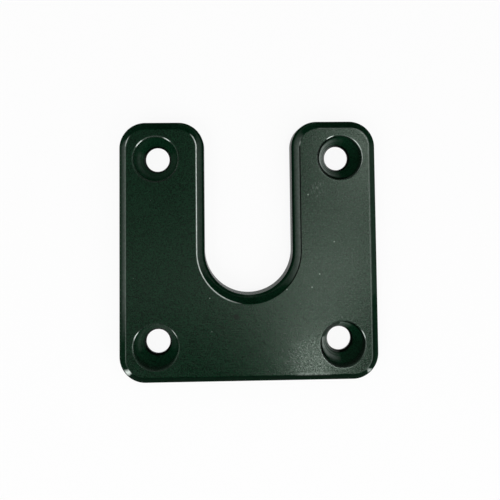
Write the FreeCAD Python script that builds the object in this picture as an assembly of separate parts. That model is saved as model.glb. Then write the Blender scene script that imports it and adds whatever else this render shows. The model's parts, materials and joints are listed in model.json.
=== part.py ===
import FreeCAD
import Part

import math
import os

# U-shaped mounting plate, milled from one piece of aluminium plate and anodised.
# It lies on its back face: X runs across the two legs, Y towards the open end of the slot, and Z up
# to the countersunk front face. The origin is under the middle of the plate, on the back face.
# All sizes are in millimetres, and the angle is in degrees.

# Plate
plate_width = 70.0
plate_length = 70.0
plate_thickness = 6.0
outer_corner_radius = 7.0

# Slot, open at the +Y end and round at its floor
slot_width = 24.0
web_length = 23.0
mouth_corner_radius = 7.0

# Edges: the edge between the front face and its chamfer is rounded, and the rest are only broken
front_chamfer = 2.0
face_edge_round = 0.4
back_edge_break = 0.3

# Screw holes: a bore, a conical seat for a flat head, and a cylindrical recess that sinks the head
hole_inset = 10.0
bore_diameter = 6.6
bore_land = 0.9
seat_diameter = 12.0
seat_angle = 90.0
rim_break = 0.25

# How far a cutter reaches past the faces it cuts through, and how near counts as the same height
cutter_reach = 1.0
tolerance = 1e-4

right = plate_width / 2
top = plate_length / 2
bottom = -plate_length / 2
slot_side = slot_width / 2
slot_arc_y = bottom + web_length + slot_side
leg_width = right - slot_side

# A leg's two corners share the end of the leg, so neither is rounder than its half.
outer_corner = min(outer_corner_radius, leg_width / 2 - tolerance)
mouth_corner = min(mouth_corner_radius, leg_width / 2 - tolerance)

centre = FreeCAD.Vector(0, 0, 0)
x_axis = FreeCAD.Vector(1, 0, 0)
z_axis = FreeCAD.Vector(0, 0, 1)


def line(x_start, y_start, x_end, y_end):
    return Part.makeLine(FreeCAD.Vector(x_start, y_start, 0), FreeCAD.Vector(x_end, y_end, 0))


def arc(x_centre, y_centre, radius, start_angle, end_angle):
    """Counterclockwise from the start angle to the end angle, in degrees."""
    circle = Part.Circle(FreeCAD.Vector(x_centre, y_centre, 0), z_axis, radius)
    return Part.ArcOfCircle(circle, math.radians(start_angle), math.radians(end_angle)).toShape()


def right_leg_edges():
    """The outline of the +X leg, from the lower corner round to the start of the slot's floor."""
    corner_x = right - outer_corner
    mouth_x = slot_side + mouth_corner
    mouth_y = top - mouth_corner
    return [
        arc(corner_x, bottom + outer_corner, outer_corner, 270, 360),
        line(right, bottom + outer_corner, right, top - outer_corner),
        arc(corner_x, top - outer_corner, outer_corner, 0, 90),
        line(corner_x, top, mouth_x, top),
        arc(mouth_x, mouth_y, mouth_corner, 90, 180),
        line(slot_side, mouth_y, slot_side, slot_arc_y),
    ]


def outline():
    """The U seen from the front, as one closed face at the height of the back face."""
    right_leg = right_leg_edges()
    left_leg = [edge.mirror(centre, x_axis) for edge in right_leg]
    lower_edge = line(outer_corner - right, bottom, right - outer_corner, bottom)
    slot_floor = arc(0, slot_arc_y, slot_side, 180, 360)
    edges = right_leg + left_leg + [lower_edge, slot_floor]
    return Part.Face(Part.Wire(Part.__sortEdges__(edges)))


def edges_at_height(solid, height):
    """The edges that lie flat at one height."""
    return [
        edge
        for edge in solid.Edges
        if abs(edge.BoundBox.ZMin - height) < tolerance and abs(edge.BoundBox.ZMax - height) < tolerance
    ]


def bevelled_plate():
    """The plate with its front chamfer, which runs round the outside and the slot without a break."""
    plate = outline().extrude(FreeCAD.Vector(0, 0, plate_thickness))
    plate = plate.makeChamfer(front_chamfer, edges_at_height(plate, plate_thickness))
    plate = plate.makeFillet(face_edge_round, edges_at_height(plate, plate_thickness))
    return plate.makeChamfer(back_edge_break, edges_at_height(plate, 0))


def hole_cutter():
    """What the drill and the countersink take out of one hole, turned about the hole's axis."""
    bore_radius = bore_diameter / 2
    seat_radius = seat_diameter / 2
    seat_depth = (seat_radius - bore_radius) / math.tan(math.radians(seat_angle / 2))
    profile = [
        (0, -cutter_reach),
        (bore_radius + back_edge_break + cutter_reach, -cutter_reach),
        (bore_radius, back_edge_break),
        (bore_radius, bore_land),
        (seat_radius, bore_land + seat_depth),
        (seat_radius, plate_thickness - rim_break),
        (seat_radius + rim_break + cutter_reach, plate_thickness + cutter_reach),
        (0, plate_thickness + cutter_reach),
    ]
    corners = [FreeCAD.Vector(radius, 0, height) for radius, height in profile]
    section = Part.Face(Part.makePolygon(corners + corners[:1]))
    return section.revolve(centre, z_axis, 360)


def hole_places():
    """One hole in each corner of the plate, the same distance from both of its edges."""
    x = right - hole_inset
    y = top - hole_inset
    return [FreeCAD.Vector(side * x, end * y, 0) for side in (-1, 1) for end in (-1, 1)]


def u_plate():
    plate = bevelled_plate()
    for place in hole_places():
        cutter = hole_cutter()
        cutter.translate(place)
        plate = plate.cut(cutter)
    return plate


os.makedirs("parts", exist_ok=True)
solid = u_plate().Solids[0]
solid.exportStep("parts/u_plate.step")
print("u_plate valid", solid.isValid(), "volume mm3", round(solid.Volume, 1), "faces", len(solid.Faces))
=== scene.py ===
import json
import math

import bmesh
import bpy
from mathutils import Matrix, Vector


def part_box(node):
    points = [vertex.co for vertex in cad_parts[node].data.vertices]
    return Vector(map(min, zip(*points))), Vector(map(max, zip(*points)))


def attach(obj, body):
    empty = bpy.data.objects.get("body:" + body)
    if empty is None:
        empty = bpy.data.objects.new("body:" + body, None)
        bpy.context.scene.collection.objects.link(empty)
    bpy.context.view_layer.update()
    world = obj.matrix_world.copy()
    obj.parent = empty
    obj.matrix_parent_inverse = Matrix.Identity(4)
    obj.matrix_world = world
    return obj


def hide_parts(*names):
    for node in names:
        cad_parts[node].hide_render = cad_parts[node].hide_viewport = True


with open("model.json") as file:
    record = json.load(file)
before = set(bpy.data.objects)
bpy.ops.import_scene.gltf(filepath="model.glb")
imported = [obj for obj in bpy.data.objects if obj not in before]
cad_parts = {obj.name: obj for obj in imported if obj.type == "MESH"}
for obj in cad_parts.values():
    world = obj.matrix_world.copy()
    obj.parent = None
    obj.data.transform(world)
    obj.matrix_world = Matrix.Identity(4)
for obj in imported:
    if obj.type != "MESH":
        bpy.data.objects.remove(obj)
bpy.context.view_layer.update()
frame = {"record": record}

# The plate's sizes and places are in millimetres, and turn into metres when its mesh is made. The
# studio and the camera are in metres.
MM = 0.001

plate_low, plate_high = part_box("u_plate")
mounts = {mount["name"]: mount for mount in frame["record"]["mounts"]}
bolts = mounts["bolts"]["dims"]

# Plate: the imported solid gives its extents, and the mounts give the holes
right = plate_high.x / MM
top = plate_high.y / MM
bottom = plate_low.y / MM
thickness = plate_high.z / MM
hole_x = bolts["spacing_x_mm"] / 2
hole_y = bolts["spacing_y_mm"] / 2
bore_radius = bolts["hole_r_mm"]

outer_corner = 7.0
mouth_corner = 7.0
slot_side = 12.0
slot_arc_y = 0.0

# Edges
front_chamfer = 2.0
face_edge_round = 0.4
wall_edge_round = 0.15
back_edge_break = 0.3
back_edge_round = 0.06

# Screw seats
seat_radius = 6.0
bore_land = 0.9
rim_break = 0.25
rim_round = 0.15
seat_corner_round = 0.15
bore_edge_round = 0.08
clear_of_rim = 0.5

# How far each profile carries on over the face and over the back before the flat fill takes over
face_land = 0.5
lip_land = 0.36
back_land = 0.3

# Rows on the face, inside the bevel and the seat, round a hole and up the outer sides, where the
# wear and the painted light and shade change
face_row_in = 0.28
bevel_row_in = 0.6
seat_rows_in = [0.2, 0.4, 0.6, 0.8, 1.0]
lip_row_out = 0.12
side_rows = [-24.0, -18.0, -12.0]

# How finely the curves are divided, and the turn in radians below which a profile is straight
corner_steps = 40
slot_steps = 96
hole_steps = 144
round_steps = 6
straight = 1e-4

# Corners of the two profiles, counted from the front face
face_row, face_corner, bevel_row, wall_corner = 1, 2, 3, 4
lip_row, rim_corner, recess_corner, seat_corner = 1, 2, 3, 4
bore_corner = seat_corner + len(seat_rows_in) + 1

# Painted light and shade of the front edge, by the way that a part of it faces: right, left, up and
# down. Above 0 the colour is painted lighter, towards bare metal, and below 0 it is painted darker.
# The line row is a painted highlight where the face meets the bevel. The second row is added
# towards the lower ends of the two outer sides.
outer_painted_light = {
    "upper": [(0.012, 0.090, -0.25, -0.55), (-0.6, -0.09, 0.0, 0.0)],
    "lower": [(0.010, 0.012, -0.25, -0.40), (-0.03, -0.01, 0.0, 0.0)],
    "wall": [(0.010, 0.012, -0.25, -0.40), (0.05, 0.0, 0.0, 0.0)],
    "line": [(0.09, 0.12, 0.0, 0.0), (0.0, 0.0, 0.0, 0.0)],
}
slot_painted_light = {
    "upper": [(0.038, 0.13, -0.15, 0.0), (0.0, 0.0, 0.0, 0.0)],
    "lower": [(0.024, 0.025, 0.012, 0.0), (0.0, 0.0, 0.0, 0.0)],
    "wall": [(-1.0, -1.0, 0.02, 0.0), (0.0, 0.0, 0.0, 0.0)],
}
# A painted highlight line along the top edge of the right leg
right_end_highlight = 0.30
slot_margin = 0.1

# Painted highlights, glints and dark lines round the edge, each with its direction and its spread
# in degrees and its amount
line_highlights = [(160, 22, 0.7), (40, 40, 0.12), (-45, 40, 0.07)]
corner_glints = [(-140, 14, 1.2), (-47, 13, 0.8)]
mouth_highlights = [(168, 9, 0.45)]
slot_shade_line = [(180, 80, -1.6)]

# The painted highlight line on the left of the slot ends between these directions, at its mouth and
# its floor
mouth_highlight_end = (30, 50)
slot_highlight_end = (60, 85)

# Painted light and shade of each screw hole, by (is it right, is it upper), as marks of the same
# kind: glints, light rings and dark lines on the rim and lip, a seat lighter on one side and darker
# on the other, and dark walls
rim_painted_light = {
    (False, True): [
        (0, 360, 0.01),
        (97, 60, 0.10),
        (136, 15, 2.2),
        (59, 14, 2.2),
        (-60, 110, -0.7),
    ],
    (True, True): [(0, 360, 0.05), (20, 90, 0.65), (117, 14, 2.4), (40, 18, 0.8), (190, 85, -1.6)],
    (False, False): [
        (0, 360, 0.01),
        (185, 60, 0.16),
        (150, 16, 2.2),
        (36, 18, 1.2),
        (-90, 110, -0.3),
    ],
    (True, False): [(0, 360, 0.04), (24, 16, 1.8), (10, 70, 0.16), (175, 160, -2.0)],
}
# A painted light ring just outside the rim
lip_painted_light = {
    (False, True): [],
    (True, True): [(225, 100, 0.04)],
    (False, False): [],
    (True, False): [(235, 125, 0.11)],
}
# Seats painted lighter on one side and darker on the other, over a small even lightening
seat_tone_and_painted_light = {
    (False, True): [(0, 360, 0.008), (180, 90, 0.015), (90, 80, -0.15)],
    (True, True): [(0, 360, 0.008), (185, 105, 0.28), (-5, 80, -0.35)],
    (False, False): [(0, 360, 0.008), (160, 90, 0.012), (-90, 80, -0.1)],
    (True, False): [(0, 360, 0.008), (162, 130, 0.28), (-20, 80, -0.4)],
}
# Walls painted darker, and lighter on one side of the upper right hole
wall_painted_light = {
    (False, True): [(0, 360, -0.1)],
    (True, True): [(0, 360, -0.45), (90, 60, 0.35), (200, 80, -0.45)],
    (False, False): [(0, 360, -0.15)],
    (True, False): [(0, 360, -0.35), (0, 90, -0.3), (155, 80, -1.2)],
}

# Painted shadow: the foot of a right hole's wall is painted dark outside this radius, about a
# centre that is shifted from the hole's own
foot_radius = 5.7
foot_blur = 0.1
foot_shade = 1.2
foot_shift = {(True, True): Vector((0.55, 0.14)), (True, False): Vector((0.50, -0.60))}

# Marks on the face, where the photograph shows them
pit_place, pit_size = (-3.6, -17.3), 0.65
# The last speck is a painted glint on the edge of the slot's floor
speck_and_glint_places = [(16.1, 15.0), (18.9, -6.3), (16.8, -9.8), (23.0, 2.3), (10.0, -10.3)]
speck_and_glint_size = 0.2
scuff_place, scuff_size = (19.0, 16.5), 2.2
# The strip at the lower edge is a painted highlight; the spot beside the lower right hole holds
# light scuffs and a painted sparkle of the highlight
edge_highlight_place, edge_highlight_size = (17.0, -33.5), 4.5
scuff_and_sparkle_place, scuff_and_sparkle_size = (16.0, -29.0), 5.5

# Colours of the film, the metal under it, which also colours the painted highlights and glints, and
# the dust, which also colours one painted glint
dye = (0.0010, 0.0122, 0.0048)
bare_metal_and_highlight = (0.74, 0.82, 0.77, 1)
dust_and_glint = (0.25, 0.30, 0.26, 1)
white = (1, 1, 1, 1)
black = (0, 0, 0, 1)
tint = (0.83, 1.0, 0.86, 1)


# ---------------------------------------------------------------- the plate


def arc(x_centre, y_centre, radius, start, end, steps, hollow=False):
    """Points on an arc with the normals that point out of the metal. Angles are in degrees."""
    found = []
    for k in range(steps + 1):
        angle = math.radians(start + (end - start) * k / steps)
        way = Vector((math.cos(angle), math.sin(angle)))
        place = Vector((x_centre, y_centre)) + way * radius
        found.append((place, -way if hollow else way))
    return found


def up_side(x, heights):
    """Places along an outer side with the normal that points out of the metal."""
    return [(Vector((x, y)), Vector((math.copysign(1.0, x), 0.0))) for y in heights]


def plate_outline():
    """The outline seen from the front, counterclockwise from the lower right corner."""
    corner_x = right - outer_corner
    corner_top = top - outer_corner
    corner_bottom = bottom + outer_corner
    mouth_x = slot_side + mouth_corner
    mouth_y = top - mouth_corner
    return (
        arc(corner_x, corner_bottom, outer_corner, -90, 0, corner_steps)
        + up_side(right, side_rows)
        + arc(corner_x, corner_top, outer_corner, 0, 90, corner_steps)
        + arc(mouth_x, mouth_y, mouth_corner, 90, 180, corner_steps)
        + arc(0, slot_arc_y, slot_side, 0, -180, slot_steps, hollow=True)
        + arc(-mouth_x, mouth_y, mouth_corner, 0, 90, corner_steps)
        + arc(-corner_x, corner_top, outer_corner, 90, 180, corner_steps)
        + up_side(-right, side_rows[::-1])
        + arc(-corner_x, corner_bottom, outer_corner, 180, 270, corner_steps)
    )


def circle(x_centre, y_centre):
    """A ring of places on a hole's axis, with the directions out to its wall."""
    found = []
    for k in range(hole_steps):
        angle = 2 * math.pi * k / hole_steps
        found.append((Vector((x_centre, y_centre)), Vector((math.cos(angle), math.sin(angle)))))
    return found


def rounded(points, radii, side):
    """A profile through the points with its inner corners rounded.

    Each row holds its place (across, height), its normal, its corner and how far round that it is.
    """
    rows = []
    for k, (point, radius) in enumerate(zip(points, radii)):
        here = Vector(point)
        if k == 0 or k == len(points) - 1:
            other = Vector(points[1]) - here if k == 0 else here - Vector(points[k - 1])
            way = other.normalized()
            rows.append((here, Vector((-way.y, way.x)) * side, k, 0.0))
            continue
        way_in = (here - Vector(points[k - 1])).normalized()
        way_out = (Vector(points[k + 1]) - here).normalized()
        turn = math.atan2(way_in.x * way_out.y - way_in.y * way_out.x, way_in.dot(way_out))
        if abs(turn) < straight:
            rows.append((here, Vector((-way_in.y, way_in.x)) * side, k, 0.0))
            continue
        reach = radius * math.tan(abs(turn) / 2)
        bend = 1 if turn > 0 else -1
        centre = here - way_in * reach + Vector((-way_in.y, way_in.x)) * radius * bend
        for j in range(round_steps + 1):
            angle = turn * j / round_steps
            cos, sin = math.cos(angle), math.sin(angle)
            way = Vector((way_in.x * cos - way_in.y * sin, way_in.x * sin + way_in.y * cos))
            left = Vector((-way.y, way.x))
            rows.append((centre - left * radius * bend, left * side, k, j / round_steps))
    return rows


def near(angle, middle, spread):
    """1 in the middle of a range of directions, falling smoothly to 0 at its ends. In degrees."""
    if spread >= 360:
        return 1.0
    away = abs((angle - middle + 180) % 360 - 180) / spread
    return 0.5 + 0.5 * math.cos(math.pi * away) if away < 1 else 0.0


def fade(value, start, end):
    """1 up to the start, falling evenly to 0 at the end."""
    return min(max((end - value) / (end - start), 0.0), 1.0)


def marked(marks, angle):
    """What the marks add up to in one direction."""
    return sum(amount * near(angle, middle, spread) for middle, spread, amount in marks)


def faced(wear_and_painted_light, shares, low):
    """Painted light and shade of a part of the edge, by how much it faces each way and how near a
    low end it is.
    """
    return sum((amount + added * low) * share for amount, added, share in zip(*wear_and_painted_light, shares))


def edge_wear(centre, way, corner, share, across):
    """Painted light and shade of the front edge's bevel, its wall's top and the line where the face
    meets it.
    """
    if corner not in (face_row, face_corner, bevel_row, wall_corner):
        return 0.0
    angle = math.degrees(math.atan2(way.y, way.x))
    shares = [max(length, 0.0) ** 2 for length in (way.x, -way.x, way.y, -way.y)]
    to_right, to_top = shares[0], shares[2]
    slot_bottom = slot_arc_y - slot_side - slot_margin
    in_slot = abs(centre.x) < slot_side + mouth_corner and centre.y > slot_bottom
    in_mouth = centre.y > top - mouth_corner
    low = fade(centre.y, side_rows[0], side_rows[-1])
    wear_and_painted_light = slot_painted_light if in_slot else outer_painted_light
    upper, lower, wall = (faced(wear_and_painted_light[part], shares, low) for part in ("upper", "lower", "wall"))
    if in_slot:
        inward, patch = 0.0, 0.0
        if way.x > 0:
            line = fade(angle, *(mouth_highlight_end if in_mouth else slot_highlight_end))
        else:
            line = marked(mouth_highlights if in_mouth else slot_shade_line, angle)
    else:
        inward, patch = to_right, marked(corner_glints, angle)
        line = faced(wear_and_painted_light["line"], shares, low) + (right_end_highlight * to_top if centre.x > 0 else 0.0)
        line += marked(line_highlights, angle)
    if corner == face_row:
        return max(line, 0.0) * inward
    if corner == face_corner:
        # A painted highlight line peaks part of the way round the corner, and a painted dark line
        # where the face ends
        if line < 0:
            part = min(1.0, 2 * (1 - share))
        else:
            part = 0.2 + 1.2 * share if share < 0.67 else 3 * (1 - share)
            part += (1 - share - part) * inward
        return line * part + (upper + patch) * share
    if corner == bevel_row:
        return lower + patch
    return (0.3 * lower + 0.7 * wall) * (1 - share) + wall * share


def hole_wear(centre, way, corner, share, across):
    """Painted light and shade of a screw hole: glints, light rings and dark lines on its rim, a
    seat painted lighter on one side and darker on the other, and a painted dark wall.
    """
    hole = (centre.x > 0, centre.y > 0)
    angle = math.degrees(math.atan2(way.y, way.x))
    rim, lip, seat, wall = (
        marked(wear_and_painted_light[hole], angle) for wear_and_painted_light in (rim_painted_light, lip_painted_light, seat_tone_and_painted_light, wall_painted_light)
    )
    if corner == lip_row:
        return lip
    if corner == rim_corner:
        return lip * (1 - share) + (rim if rim < 0 else rim / 2) * share
    if corner == recess_corner:
        return rim * (1 - share) + wall * share
    if corner == seat_corner:
        return wall
    if seat_corner < corner < bore_corner:
        if hole not in foot_shift:
            return seat
        # Painted shadow at the foot of the wall on one side of a right hole
        away = (way * across - foot_shift[hole]).length
        foot = fade(away, foot_radius - foot_blur, foot_radius + foot_blur)
        return seat * foot - foot_shade * (1 - foot)
    if corner == bore_corner:
        return seat * (1 - share)
    return 0.0


def sweep(mesh, normals, wear_and_painted_light, path, profile, rubbed_and_painted_light):
    """Skins the profile along a closed path, and gives its first and last rings of vertices.

    The normal and the wear and painted light and shade of each new vertex are added to their lists.
    """
    rings = []
    for place, normal, corner, share in profile:
        ring = []
        for centre, way in path:
            flat = centre + way * place.x
            vertex = mesh.verts.new((flat.x * MM, flat.y * MM, place.y * MM))
            normals.append(Vector((way.x * normal.x, way.y * normal.x, normal.y)).normalized())
            wear_and_painted_light.append(rubbed_and_painted_light(centre, way, corner, share, place.x))
            ring.append(vertex)
        rings.append(ring)
    count = len(path)
    for upper, lower in zip(rings, rings[1:]):
        for k in range(count):
            nxt = (k + 1) % count
            mesh.faces.new((upper[k], upper[nxt], lower[nxt], lower[k]))
    return rings[0], rings[-1]


def fill_between(mesh, loops):
    """A flat face inside the first loop and outside the rest."""
    edges = []
    for loop in loops:
        for k, vertex in enumerate(loop):
            pair = (vertex, loop[(k + 1) % len(loop)])
            edges.append(mesh.edges.get(pair) or mesh.edges.new(pair))
    bmesh.ops.triangle_fill(mesh, use_beauty=True, use_dissolve=False, edges=edges)


def build_plate():
    """The whole plate as one mesh, with its own normals and the attribute that holds its wear and
    its painted light and shade.
    """
    mesh = bmesh.new()
    normals, wear_and_painted_light = [], []

    edge_profile = rounded(
        [
            (-front_chamfer - face_land, thickness),
            (-front_chamfer - face_row_in, thickness),
            (-front_chamfer, thickness),
            (-bevel_row_in, thickness - front_chamfer + bevel_row_in),
            (0, thickness - front_chamfer),
            (0, back_edge_break),
            (-back_edge_break, 0),
            (-back_edge_break - back_land, 0),
        ],
        [0, 0, face_edge_round, 0, wall_edge_round, back_edge_round, back_edge_round, 0],
        1,
    )
    seat_height = bore_land + seat_radius - bore_radius
    hole_profile = rounded(
        [
            (seat_radius + rim_break + lip_land, thickness),
            (seat_radius + rim_break + lip_row_out, thickness),
            (seat_radius + rim_break, thickness),
            (seat_radius, thickness - rim_break),
            (seat_radius, seat_height),
            *((seat_radius - reach, seat_height - reach) for reach in seat_rows_in),
            (bore_radius, bore_land),
            (bore_radius, back_edge_break),
            (bore_radius + back_edge_break, 0),
            (bore_radius + back_edge_break + back_land, 0),
        ],
        [0, 0, rim_round, rim_round, seat_corner_round]
        + [0] * len(seat_rows_in)
        + [bore_edge_round, back_edge_round, back_edge_round, 0],
        -1,
    )

    front, back = [], []
    first, last = sweep(mesh, normals, wear_and_painted_light, plate_outline(), edge_profile, edge_wear)
    front.append(first)
    back.append(last)
    for x in (-hole_x, hole_x):
        for y in (-hole_y, hole_y):
            first, last = sweep(mesh, normals, wear_and_painted_light, circle(x, y), hole_profile, hole_wear)
            front.append(first)
            back.append(last)
    fill_between(mesh, front)
    fill_between(mesh, back)

    mesh.verts.index_update()
    mesh.normal_update()
    for face in mesh.faces:
        face.smooth = True
        meant = sum((normals[v.index] for v in face.verts), Vector())
        if face.normal.dot(meant) < 0:
            face.normal_flip()
    data = bpy.data.meshes.new("plate")
    mesh.to_mesh(data)
    mesh.free()
    data.normals_split_custom_set_from_vertices([tuple(n) for n in normals])
    # The attribute holds wear together with painted highlights, glints, light lines and painted
    # shade.
    data.attributes.new("wear_and_painted_light", "FLOAT", "POINT").data.foreach_set("value", wear_and_painted_light)
    plate = bpy.data.objects.new("plate", data)
    bpy.context.scene.collection.objects.link(plate)
    return plate


# ---------------------------------------------------------------- materials


class Nodes:
    """Short calls for building a node tree."""

    def __init__(self, tree):
        self.tree = tree
        tree.nodes.clear()

    def add(self, kind, settings=None, **inputs):
        node = self.tree.nodes.new(kind)
        for name, value in (settings or {}).items():
            setattr(node, name, value)
        for name, value in inputs.items():
            self.put(node, name.replace("_", " "), value)
        return node

    def put(self, node, name, value):
        socket = node.inputs[int(name)] if str(name).isdigit() else node.inputs[name]
        if isinstance(value, bpy.types.NodeSocket):
            self.tree.links.new(value, socket)
        else:
            socket.default_value = value

    def math(self, operation, *values, clamp=False):
        node = self.add("ShaderNodeMath", {"operation": operation, "use_clamp": clamp})
        for k, value in enumerate(values):
            self.put(node, k, value)
        return node.outputs[0]

    def noise(self, vector, scale, detail, rough=0.5):
        node = self.add("ShaderNodeTexNoise", Scale=scale, Detail=detail, Roughness=rough)
        self.put(node, "Vector", vector)
        return node.outputs["Fac"]

    def scaled(self, vector, x, y, z):
        node = self.add("ShaderNodeVectorMath", {"operation": "MULTIPLY"})
        self.put(node, 0, vector)
        self.put(node, 1, (x, y, z))
        return node.outputs[0]

    def ramp(self, value, low, high, to_low=0.0, to_high=1.0):
        """A smooth change from to_low to to_high while the value goes from low to high."""
        node = self.add("ShaderNodeMapRange", {"clamp": True, "interpolation_type": "SMOOTHSTEP"})
        self.put(node, "Value", value)
        self.put(node, "From Min", low)
        self.put(node, "From Max", high)
        self.put(node, "To Min", to_low)
        self.put(node, "To Max", to_high)
        return node.outputs[0]

    def length(self, x, y):
        """How long the flat vector (x, y) is."""
        square_x, square_y = self.math("MULTIPLY", x, x), self.math("MULTIPLY", y, y)
        return self.math("SQRT", self.math("ADD", square_x, square_y))

    def spot(self, x, y, place, size):
        """1 inside a round mark on the face, and 0 outside it."""
        from_x, from_y = self.math("SUBTRACT", x, place[0]), self.math("SUBTRACT", y, place[1])
        return self.ramp(self.length(from_x, from_y), size * 1.3, size * 0.7)

    def mix(self, factor, a, b):
        """Colour a where the factor is 0, and colour b where it is 1."""
        node = self.add("ShaderNodeMix", {"data_type": "RGBA"})
        node.inputs[0].default_value = 0.5
        self.put(node, 0, factor)
        for socket, value in zip((node.inputs[6], node.inputs[7]), (a, b)):
            if isinstance(value, bpy.types.NodeSocket):
                self.tree.links.new(value, socket)
            else:
                socket.default_value = value
        return node.outputs[2]


def anodised(name, gloss, finish, depth, grain_height, groove_height):
    """Green-black anodising: a dyed film with grain, streaks, clouds, marks, tool lines, wear, and
    painted highlights, glints and shade.

    The gloss is the film's index of refraction, the finish its roughness, and the depth scales its
    colour, so that a larger depth gives a lighter colour. The heights are in millimetres.
    """
    body = [channel * depth for channel in dye]
    material = bpy.data.materials.new(name)
    material.use_nodes = True
    n = Nodes(material.node_tree)
    place = n.add("ShaderNodeTexCoord").outputs["Object"]
    mm = n.scaled(place, 1000, 1000, 1000)
    parts = n.add("ShaderNodeSeparateXYZ", Vector=mm)
    x, y, z = parts.outputs

    # Distance from the nearest hole's axis, and the path of the tool over the cut surfaces
    from_x = n.math("SUBTRACT", n.math("ABSOLUTE", x), hole_x)
    from_y = n.math("SUBTRACT", n.math("ABSOLUTE", y), hole_y)
    radius = n.length(from_x, from_y)
    in_hole = n.ramp(radius, seat_radius + clear_of_rim, seat_radius + 0.3)
    path = n.math("ADD", z, n.math("MULTIPLY", radius, in_hole))

    # Grain of the tumbled and anodised surface
    grain = n.noise(mm, 2.6, 2, 0.6)
    streaks = n.noise(n.scaled(mm, 0.3, 3.5, 3.5), 1.0, 2, 0.5)
    waves = n.noise(n.scaled(mm, 0.35, 0.7, 0.7), 1.0, 3, 0.6)
    clouds = n.noise(mm, 0.10, 4, 0.55)
    lines_at = n.add("ShaderNodeCombineXYZ")
    n.put(lines_at, "X", n.math("MULTIPLY", path, 1.2))
    n.put(lines_at, "Y", n.math("MULTIPLY", radius, 0.02))
    lines = n.noise(lines_at.outputs[0], 1.0, 3, 0.7)

    # Specks of dust and pinholes in the film
    cells = n.add("ShaderNodeTexVoronoi", {"feature": "F1"}, Scale=0.2, Randomness=1.0, Vector=mm)
    shade = n.add("ShaderNodeSeparateColor", Color=cells.outputs["Color"]).outputs[0]
    chosen = n.ramp(shade, 0.62, 0.63)
    size = n.ramp(cells.outputs["Distance"], 0.035, 0.015)
    specks_and_glint = n.math("MULTIPLY", chosen, size)

    # A dark pit, light specks of dust and one painted glint, a scuff of short scratches, and a
    # painted highlight along the lower edge
    pit = n.spot(x, y, pit_place, pit_size)
    for mark_place in speck_and_glint_places:
        specks_and_glint = n.math("MAXIMUM", specks_and_glint, n.spot(x, y, mark_place, speck_and_glint_size))
    scratches = n.noise(n.scaled(mm, 5.0, 0.8, 1.0), 1.0, 2, 0.6)
    scuff_and_highlight = n.math(
        "MULTIPLY", n.spot(x, y, scuff_place, scuff_size), n.ramp(scratches, 0.55, 0.68)
    )
    # A painted highlight along the lower edge of the right leg, broken up by the grain
    edge_highlight = n.math(
        "MULTIPLY", n.spot(x, y, edge_highlight_place, edge_highlight_size), n.ramp(y, bottom + 3.2, bottom + 2.2)
    )
    edge_highlight = n.math("MULTIPLY", edge_highlight, n.ramp(grain, 0.42, 0.62, 0.3, 1.45))
    scuff_and_highlight = n.math("MAXIMUM", scuff_and_highlight, edge_highlight)

    # Fine light scuffs over the right leg, and more of them beside its lower hole, on the front
    # face only. They are partly a painted sparkle of the highlight there.
    rubs = n.ramp(n.noise(mm, 2.0, 2, 0.6), 0.48, 0.68)
    scuffs_and_sparkle = n.math(
        "MAXIMUM", n.ramp(x, 8.0, 18.0, 0.0, 0.17), n.spot(x, y, scuff_and_sparkle_place, scuff_and_sparkle_size)
    )
    scuff_and_highlight = n.math("MAXIMUM", scuff_and_highlight, n.math("MULTIPLY", rubs, scuffs_and_sparkle))
    scuff_and_highlight = n.math("MULTIPLY", scuff_and_highlight, n.ramp(z, thickness - 0.2, thickness - 0.05))

    height = n.math("MULTIPLY", grain, grain_height)
    height = n.math("ADD", height, n.math("MULTIPLY", streaks, grain_height * 0.8))
    height = n.math("ADD", height, n.math("MULTIPLY", waves, grain_height * 0.8))
    height = n.math("ADD", height, n.math("MULTIPLY", lines, groove_height))
    bump = n.add("ShaderNodeBump", Strength=1.0, Distance=MM, Height=height)

    rough = n.ramp(clouds, 0.3, 0.7, finish - 0.015, finish + 0.02)
    rough = n.math("ADD", rough, n.ramp(grain, 0.3, 0.7, -0.03, 0.03))
    rough = n.math("ADD", rough, n.math("MULTIPLY", specks_and_glint, 0.25))

    thin, thick, pale = (
        [channel * times + added for channel in body] + [1]
        for times, added in ((0.85, 0), (1.15, 0), (2.6, 0.004))
    )
    colour = n.mix(n.ramp(clouds, 0.3, 0.7), thin, thick)
    fine = n.ramp(n.noise(mm, 3.6, 1, 0.6), 0.3, 0.7)
    colour = n.mix(n.math("MULTIPLY", fine, 0.6), n.mix(0.5, colour, black), pale)
    colour = n.mix(n.math("MULTIPLY", specks_and_glint, 0.7), colour, dust_and_glint)
    colour = n.mix(n.math("MULTIPLY", scuff_and_highlight, 0.13), colour, bare_metal_and_highlight)
    colour = n.mix(n.math("MULTIPLY", pit, 0.8), colour, black)

    # The wear and painted light is patchy, and follows the tool lines in the holes. Below 0 it is
    # painted shade, and the colour is darker.
    wear_and_painted_light = n.add("ShaderNodeAttribute", {"attribute_name": "wear_and_painted_light"}).outputs["Fac"]
    patchy = n.ramp(n.noise(mm, 1.4, 3, 0.6), 0.3, 0.7, 0.8, 1.15)
    ridges = n.mix(in_hole, white, n.ramp(lines, 0.4, 0.6, 0.3, 1.5))
    rubbed_and_painted_light = n.math("MULTIPLY", n.math("MAXIMUM", wear_and_painted_light, 0.0), patchy)
    rubbed_and_painted_light = n.math("MULTIPLY", rubbed_and_painted_light, ridges, clamp=True)
    # Painted shade: values of the attribute below 0, and a dark ring round each bore's edge, darken
    # the colour towards black
    bore_edge_shade = n.ramp(radius, bore_radius + 0.6, bore_radius + 0.35)
    painted_shade = n.math("MULTIPLY", wear_and_painted_light, -1.0)
    painted_shade = n.math("MAXIMUM", painted_shade, n.math("MULTIPLY", bore_edge_shade, 0.95), clamp=True)
    colour = n.mix(painted_shade, colour, black)

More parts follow.
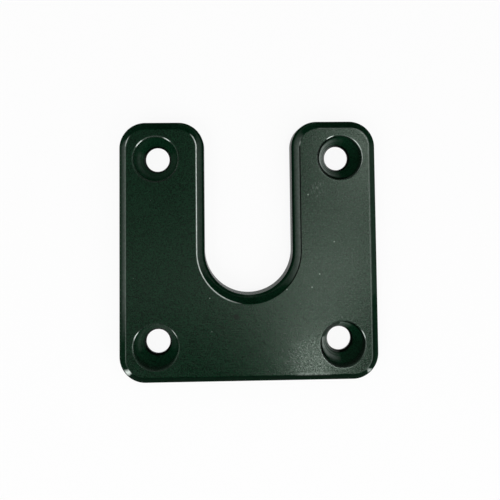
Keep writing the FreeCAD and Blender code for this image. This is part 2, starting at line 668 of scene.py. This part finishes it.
    # The rims are rubbed down to metal, which catches the lamps. The painted highlights, glints and
    # light lines held in the wear attribute are mixed in here towards the bare metal colour.
    rim = n.ramp(radius, seat_radius - 0.02, seat_radius + 0.02)
    rim = n.math("MULTIPLY", rim, n.ramp(z, thickness - 0.3, thickness - 0.24))
    rim = n.math("MULTIPLY", rim, n.ramp(radius, seat_radius + 0.4, seat_radius + 0.3))
    colour = n.mix(n.math("ADD", rubbed_and_painted_light, n.math("MULTIPLY", rim, 0.03)), colour, bare_metal_and_highlight)
    metal = n.math("MULTIPLY", rim, n.math("MULTIPLY_ADD", rubbed_and_painted_light, -0.8, 0.8))

    shader = n.add("ShaderNodeBsdfPrincipled", Metallic=metal, IOR=gloss)
    n.put(shader, "Specular Tint", tint)
    n.put(shader, "Base Color", colour)
    n.put(shader, "Roughness", rough)
    n.put(shader, "Normal", bump.outputs[0])
    output = n.add("ShaderNodeOutputMaterial")
    n.tree.links.new(shader.outputs[0], output.inputs["Surface"])
    return material


def floor_material():
    """Pale floor. The camera and reflections see it nearly white, with a soft shadow."""
    material = bpy.data.materials.new("pale_floor")
    material.use_nodes = True
    n = Nodes(material.node_tree)
    seen = n.add("ShaderNodeLightPath")
    paint = n.add("ShaderNodeBsdfDiffuse", Color=(0.85, 0.85, 0.85, 1))
    glow = n.add("ShaderNodeEmission", Color=white, Strength=1.0)
    watched = n.math("ADD", seen.outputs["Is Camera Ray"], seen.outputs["Is Glossy Ray"])
    watched = n.math("ADD", watched, seen.outputs["Is Transmission Ray"], clamp=True)
    mixed = n.add("ShaderNodeMixShader", Fac=n.math("MULTIPLY", watched, 0.9))
    n.tree.links.new(paint.outputs[0], mixed.inputs[1])
    n.tree.links.new(glow.outputs[0], mixed.inputs[2])
    output = n.add("ShaderNodeOutputMaterial")
    n.tree.links.new(mixed.outputs[0], output.inputs["Surface"])
    return material


# ---------------------------------------------------------------- the piece

# The front and back are tumbled, the walls and screw seats keep a smoother cut surface, and the
# bevel is dull. Which one a face is follows from how far up its normal points.
face_look, cut_look, bevel_look = 0, 1, 2
flat_rise, bevel_rise = 0.999, 0.3

plate = build_plate()
for film in (
    anodised("anodised_face", 1.30, 0.16, depth=1.0, grain_height=0.022, groove_height=0.0),
    # The cut surfaces get a colour one and a half times lighter than the face's
    anodised("anodised_cut", 1.13, 0.28, depth=1.5, grain_height=0.003, groove_height=0.03),
    anodised("anodised_bevel", 1.02, 0.30, depth=1.0, grain_height=0.002, groove_height=0.0),
):
    plate.data.materials.append(film)
for polygon in plate.data.polygons:
    rise, centre = polygon.normal.z, polygon.center
    from_hole = math.hypot(abs(centre.x) / MM - hole_x, abs(centre.y) / MM - hole_y)
    if abs(rise) > flat_rise:
        polygon.material_index = face_look
    elif rise > bevel_rise and from_hole > seat_radius + clear_of_rim:
        polygon.material_index = bevel_look
    else:
        polygon.material_index = cut_look
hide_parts("u_plate")
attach(plate, "root")

# ---------------------------------------------------------------- the studio

floor_size = 1.6
floor_gap = 0.00003
lamp_distance = 0.5

bpy.ops.mesh.primitive_plane_add(size=floor_size, location=(0, 0, -floor_gap))
floor = bpy.context.object
floor.name = "floor"
floor.data.materials.append(floor_material())


def softbox(name, azimuth, elevation, width, height, given):
    """A lamp aimed at the plate, with the light that it gives to a white card lying there."""
    turn, rise = math.radians(azimuth), math.radians(elevation)
    way = Vector((math.cos(turn) * math.cos(rise), math.sin(turn) * math.cos(rise), math.sin(rise)))
    light = bpy.data.lights.new(name, "AREA")
    light.shape = "RECTANGLE"
    light.size = width
    light.size_y = height
    light.energy = given * math.pi ** 2 * lamp_distance ** 2 / math.sin(rise)
    lamp = bpy.data.objects.new(name, light)
    lamp.location = way * lamp_distance
    lamp.rotation_euler = way.to_track_quat("Z", "Y").to_euler()
    lamp.visible_camera = False
    bpy.context.scene.collection.objects.link(lamp)


softbox("front_right", azimuth=-48, elevation=26, width=0.45, height=0.25, given=0.14)
softbox("front_left", azimuth=-140, elevation=45, width=0.40, height=0.25, given=0.18)
softbox("front", azimuth=-62, elevation=63, width=0.02, height=0.02, given=0.043)
softbox("low_right", azimuth=5, elevation=5, width=0.6, height=0.06, given=0.01)
softbox("low_left", azimuth=178, elevation=4, width=0.6, height=0.05, given=0.01)

# A ceiling, a softer light from all sides, and dark walls. The camera sees a white backdrop
# instead, and reflections see its lower part.
dim_walls = 0.04
world = bpy.data.worlds.new("studio")
bpy.context.scene.world = world
world.use_nodes = True
w = Nodes(world.node_tree)
way = w.add("ShaderNodeSeparateXYZ", Vector=w.add("ShaderNodeTexCoord").outputs["Generated"])
to_x, to_y, to_z = way.outputs

# Each ramp runs over one part of a ray's direction. The ceiling is brighter to the right, ends in
# front, dims towards the back, and is brightest in its back right corner.
ceiling = w.ramp(to_z, 0.905, 0.962)
bright = w.ramp(to_x, -0.06, 0.47, 0.8, 11.9)
bright = w.math("MULTIPLY", bright, w.ramp(to_y, -0.33, -0.23, 0.1, 1.0))
bright = w.math("MULTIPLY", bright, w.ramp(to_y, -0.21, -0.07, 1.24, 0.38))
corner = w.math("MULTIPLY", w.ramp(to_x, 0.20, 0.33, -0.4, 3.0), w.ramp(to_y, -0.02, 0.08))
bright = w.math("MULTIPLY_ADD", bright, corner, bright)
around = w.math("MULTIPLY", w.ramp(to_z, 0.30, 0.45), w.ramp(to_z, 0.88, 0.80, 0.0, 0.7))
strength = w.math("ADD", w.math("MULTIPLY", ceiling, bright), w.math("ADD", around, dim_walls))

rays = w.add("ShaderNodeLightPath").outputs
mirrored = w.math("ADD", rays["Is Glossy Ray"], rays["Is Transmission Ray"], clamp=True)
backdrop = w.math("MULTIPLY", mirrored, w.ramp(to_z, 0.15, 0.05))
backdrop = w.math("ADD", backdrop, rays["Is Camera Ray"], clamp=True)
strength = w.math("MULTIPLY", strength, w.math("SUBTRACT", 1.0, backdrop))
strength = w.math("ADD", strength, backdrop)
sky = w.add("ShaderNodeBackground", Color=white, Strength=strength)
w.tree.links.new(sky.outputs[0], w.add("ShaderNodeOutputWorld").inputs["Surface"])

# ---------------------------------------------------------------- the camera

# Placed by fitting the plate's edges and holes in the photograph, with the shift that its framing
# needs
camera = bpy.data.cameras.new("camera")
camera.sensor_width = 36
camera.lens = 33.53
camera.shift_x = 0.0344
camera.shift_y = -0.1585
camera.clip_start = 0.005
camera.clip_end = 10
viewer = bpy.data.objects.new("camera", camera)
viewer.location = (-0.00722, 0.01705, 0.13134)
viewer.rotation_euler = [math.radians(angle) for angle in (2.104, -1.376, -0.547)]
bpy.context.scene.collection.objects.link(viewer)
bpy.context.scene.camera = viewer

bpy.context.scene.view_settings.view_transform = "Standard"
